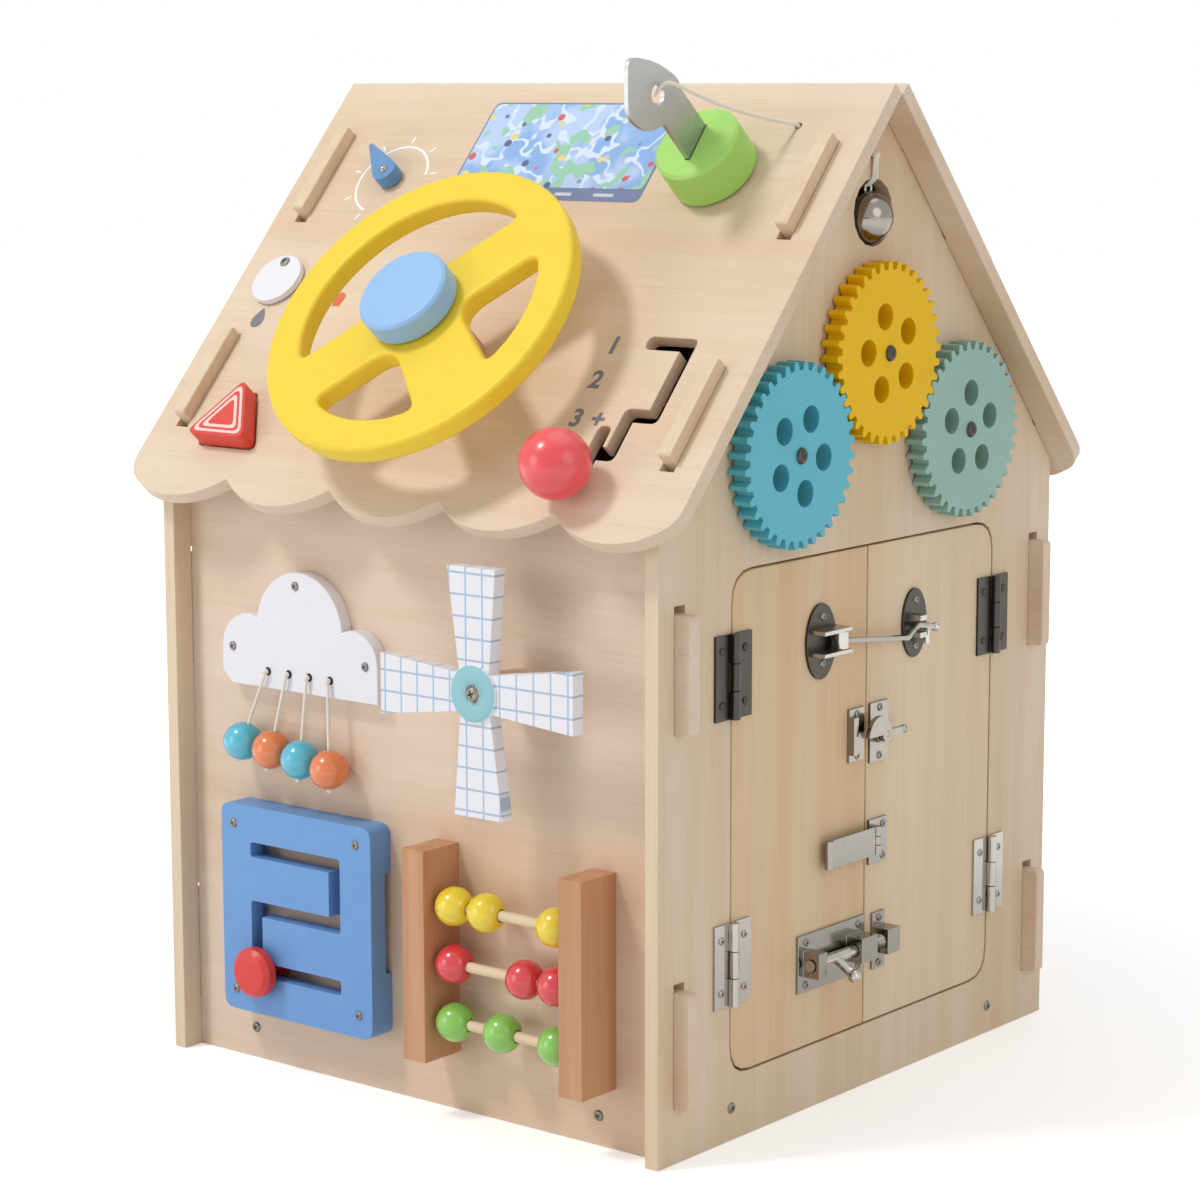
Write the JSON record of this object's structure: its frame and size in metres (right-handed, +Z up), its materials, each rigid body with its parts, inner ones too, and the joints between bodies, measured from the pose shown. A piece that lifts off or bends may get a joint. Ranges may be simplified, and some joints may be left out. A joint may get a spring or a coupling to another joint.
{
  "type": "wooden activity house",
  "caption": "Plywood play house with a pitched scalloped roof, latched double doors, meshed gears, steering wheel, lock, maze, abacus, windmill, cloud and bell.",
  "frame": {"origin": "on the floor, under the middle of the whole part's bounding box", "axes": "+Z up; +X is the side with the doors and gears; -Y is the front wall with cloud, windmill, maze and abacus"},
  "size_m": [0.3346, 0.3718, 0.4783],
  "materials": {
    "pine": "clear matt",
    "beech": "clear matt",
    "yellow": "satin paint",
    "cyan": "satin paint",
    "sage": "satin paint",
    "sky": "satin paint",
    "blue": "satin paint",
    "red": "gloss paint",
    "green": "satin paint",
    "orange": "gloss paint",
    "turquoise": "gloss paint",
    "white": "satin paint",
    "nickel": "bright plated",
    "dark_nickel": "dark plated",
    "cord": "twisted cotton"
  },
  "bodies": {
    "house": {"gable_right": "pine", "gable_left": "pine", "front_wall": "pine", "back_wall": "pine", "floor_panel": "pine", "roof_front": "pine", "roof_back": "pine", "hinge_left_upper_frame_leaf": "dark_nickel", "hinge_left_lower_frame_leaf": "nickel", "hinge_right_upper_frame_leaf": "dark_nickel", "hinge_right_lower_frame_leaf": "nickel", "wheel_post": "beech", "key_cord": "cord", "cloud_panel": "white", "maze_panel": "blue", "abacus_frame": "beech"},
    "left_door": {"door_left": "pine", "hinge_left_upper_door_leaf": "dark_nickel", "hinge_left_lower_door_leaf": "nickel", "hook_pivot_plate": "nickel", "sash_keeper": "nickel", "bolt_base": "nickel"},
    "right_door": {"door_right": "pine", "hinge_right_upper_door_leaf": "dark_nickel", "hinge_right_lower_door_leaf": "nickel", "hook_catch_plate": "nickel", "sash_base": "nickel", "flip_base": "nickel", "bolt_keeper": "nickel"},
    "wheel": {"steering_wheel": "yellow", "wheel_cap": "sky"},
    "lock": {"lock_barrel": "green", "key": "nickel"},
    "hook_arm": {"hook_arm": "nickel"},
    "sash_cam": {"sash_cam": "nickel"},
    "flip_plate": {"flip_plate": "nickel"},
    "bolt_rod": {"bolt_rod": "nickel"},
    "gear_yellow": {"gear_yellow": "yellow"},
    "gear_cyan": {"gear_cyan": "cyan"},
    "gear_sage": {"gear_sage": "sage"},
    "bell": {"bell": "nickel"},
    "shift_lever": {"shift_lever": "red"},
    "hazard_button": {"hazard_button": "red"},
    "dial_pointer": {"dial_pointer": "blue"},
    "swing_cover": {"swing_cover": "white"},
    "windmill_sails": {"windmill_sails": "white"},
    "maze_knob": {"maze_knob": "red"},
    "pendant_1": {"pendant_1": "turquoise"},
    "pendant_2": {"pendant_2": "orange"},
    "pendant_3": {"pendant_3": "turquoise"},
    "pendant_4": {"pendant_4": "orange"},
    "bead_yellow_1": {"bead_yellow_1": "yellow"},
    "bead_yellow_2": {"bead_yellow_2": "yellow"},
    "bead_yellow_3": {"bead_yellow_3": "yellow"},
    "bead_red_1": {"bead_red_1": "red"},
    "bead_red_2": {"bead_red_2": "red"},
    "bead_red_3": {"bead_red_3": "red"},
    "bead_green_1": {"bead_green_1": "green"},
    "bead_green_2": {"bead_green_2": "green"},
    "bead_green_3": {"bead_green_3": "green"}
  },
  "joints": [
    {"name": "door_left_swing", "type": "hinge", "parent": "house", "child": "left_door", "pos_m": [0.15018, -0.09482, 0.146], "axis": [0, 0, -1], "range_deg": [0, 110]},
    {"name": "door_right_swing", "type": "hinge", "parent": "house", "child": "right_door", "pos_m": [0.15018, 0.11818, 0.146], "axis": [0, 0, 1], "range_deg": [0, 110]},
    {"name": "hook_swing", "type": "hinge", "parent": "left_door", "child": "hook_arm", "pos_m": [0.15328, -0.01852, 0.2179], "axis": [0, 0, -1], "range_deg": [0, 100]},
    {"name": "sash_cam_turn", "type": "hinge", "parent": "right_door", "child": "sash_cam", "pos_m": [0.15368, 0.01688, 0.169], "axis": [1, 0, 0], "range_deg": [0, 150]},
    {"name": "flip_plate_swing", "type": "hinge", "parent": "right_door", "child": "flip_plate", "pos_m": [0.15208, 0.01428, 0.1185], "axis": [0, 0, 1], "range_deg": [0, 150]},
    {"name": "bolt_slide", "type": "slide", "parent": "left_door", "child": "bolt_rod", "axis": [0, 1, 0], "range_m": [0, 0.012]},
    {"name": "gear_yellow_spin", "type": "hinge", "parent": "house", "child": "gear_yellow", "pos_m": [0.15268, 0.01168, 0.346], "axis": [1, 0, 0], "continuous": true},
    {"name": "gear_cyan_spin", "type": "hinge", "parent": "house", "child": "gear_cyan", "pos_m": [0.15268, -0.05732, 0.3055], "axis": [1, 0, 0], "continuous": true},
    {"name": "gear_sage_spin", "type": "hinge", "parent": "house", "child": "gear_sage", "pos_m": [0.15268, 0.08068, 0.3055], "axis": [1, 0, 0], "continuous": true},
    {"name": "bell_swing", "type": "hinge", "parent": "house", "child": "bell", "pos_m": [0.14958, 0.01068, 0.435], "axis": [0, -1, 0], "range_deg": [0, 45]},
    {"name": "steering_wheel_turn", "type": "hinge", "parent": "house", "child": "wheel", "pos_m": [0.00038, -0.13066, 0.36535], "axis": [0, -0.749, 0.6626], "continuous": true},
    {"name": "shift_slide", "type": "slide", "parent": "house", "child": "shift_lever", "axis": [0, 0.6626, 0.749], "range_m": [0, 0.028]},
    {"name": "key_turn", "type": "hinge", "parent": "house", "child": "lock", "pos_m": [0.08968, -0.04496, 0.44108], "axis": [0, -0.749, 0.6626], "range_deg": [0, 90]},
    {"name": "hazard_press", "type": "slide", "parent": "house", "child": "hazard_button", "axis": [0, 0.749, -0.6626], "range_m": [0, 0.0028], "stiffness_N_per_m": 200, "springref_m": -0.001},
    {"name": "dial_turn", "type": "hinge", "parent": "house", "child": "dial_pointer", "pos_m": [-0.10432, -0.03712, 0.42279], "axis": [0, -0.749, 0.6626], "range_deg": [-135, 40]},
    {"name": "cover_swing", "type": "hinge", "parent": "house", "child": "swing_cover", "pos_m": [-0.13872, -0.07347, 0.38019], "axis": [0, -0.749, 0.6626], "range_deg": [-120, 120]},
    {"name": "windmill_spin", "type": "hinge", "parent": "house", "child": "windmill_sails", "pos_m": [0.06228, -0.16332, 0.2045], "axis": [0, -1, 0], "continuous": true},
    {"name": "maze_knob_slide", "type": "slide", "parent": "house", "child": "maze_knob", "axis": [1, 0, 0], "range_m": [-0.003, 0.0475]},
    {"name": "pendant_1_swing", "type": "hinge", "parent": "house", "child": "pendant_1", "pos_m": [-0.08832, -0.14402, 0.1938], "axis": [-1, 0, 0], "range_deg": [0, 60]},
    {"name": "pendant_2_swing", "type": "hinge", "parent": "house", "child": "pendant_2", "pos_m": [-0.07482, -0.14402, 0.1938], "axis": [-1, 0, 0], "range_deg": [0, 60]},
    {"name": "pendant_3_swing", "type": "hinge", "parent": "house", "child": "pendant_3", "pos_m": [-0.06162, -0.14402, 0.1938], "axis": [-1, 0, 0], "range_deg": [0, 60]},
    {"name": "pendant_4_swing", "type": "hinge", "parent": "house", "child": "pendant_4", "pos_m": [-0.04822, -0.14402, 0.1938], "axis": [-1, 0, 0], "range_deg": [0, 60]},
    {"name": "bead_yellow_1_slide", "type": "slide", "parent": "house", "child": "bead_yellow_1", "axis": [1, 0, 0], "range_m": [-0.0009, 0.0019]},
    {"name": "bead_yellow_2_slide", "type": "slide", "parent": "house", "child": "bead_yellow_2", "axis": [1, 0, 0], "range_m": [-0.0019, 0.0232]},
    {"name": "bead_yellow_3_slide", "type": "slide", "parent": "house", "child": "bead_yellow_3", "axis": [1, 0, 0], "range_m": [-0.0232, 0.0011]},
    {"name": "bead_red_1_slide", "type": "slide", "parent": "house", "child": "bead_red_1", "axis": [1, 0, 0], "range_m": [-0.0009, 0.0242]},
    {"name": "bead_red_2_slide", "type": "slide", "parent": "house", "child": "bead_red_2", "axis": [1, 0, 0], "range_m": [-0.0242, 0.0013]},
    {"name": "bead_red_3_slide", "type": "slide", "parent": "house", "child": "bead_red_3", "axis": [1, 0, 0], "range_m": [-0.0013, 0.0007]},
    {"name": "bead_green_1_slide", "type": "slide", "parent": "house", "child": "bead_green_1", "axis": [1, 0, 0], "range_m": [-0.0009, 0.0109]},
    {"name": "bead_green_2_slide", "type": "slide", "parent": "house", "child": "bead_green_2", "axis": [1, 0, 0], "range_m": [-0.0109, 0.0146]},
    {"name": "bead_green_3_slide", "type": "slide", "parent": "house", "child": "bead_green_3", "axis": [1, 0, 0], "range_m": [-0.0146, 0.0007]}
  ],
  "couplings": [
    {"joint": "door_right_swing", "follows": "door_left_swing", "ratio": 1},
    {"joint": "gear_cyan_spin", "follows": "gear_yellow_spin", "ratio": -1},
    {"joint": "gear_sage_spin", "follows": "gear_yellow_spin", "ratio": -1}
  ]
}
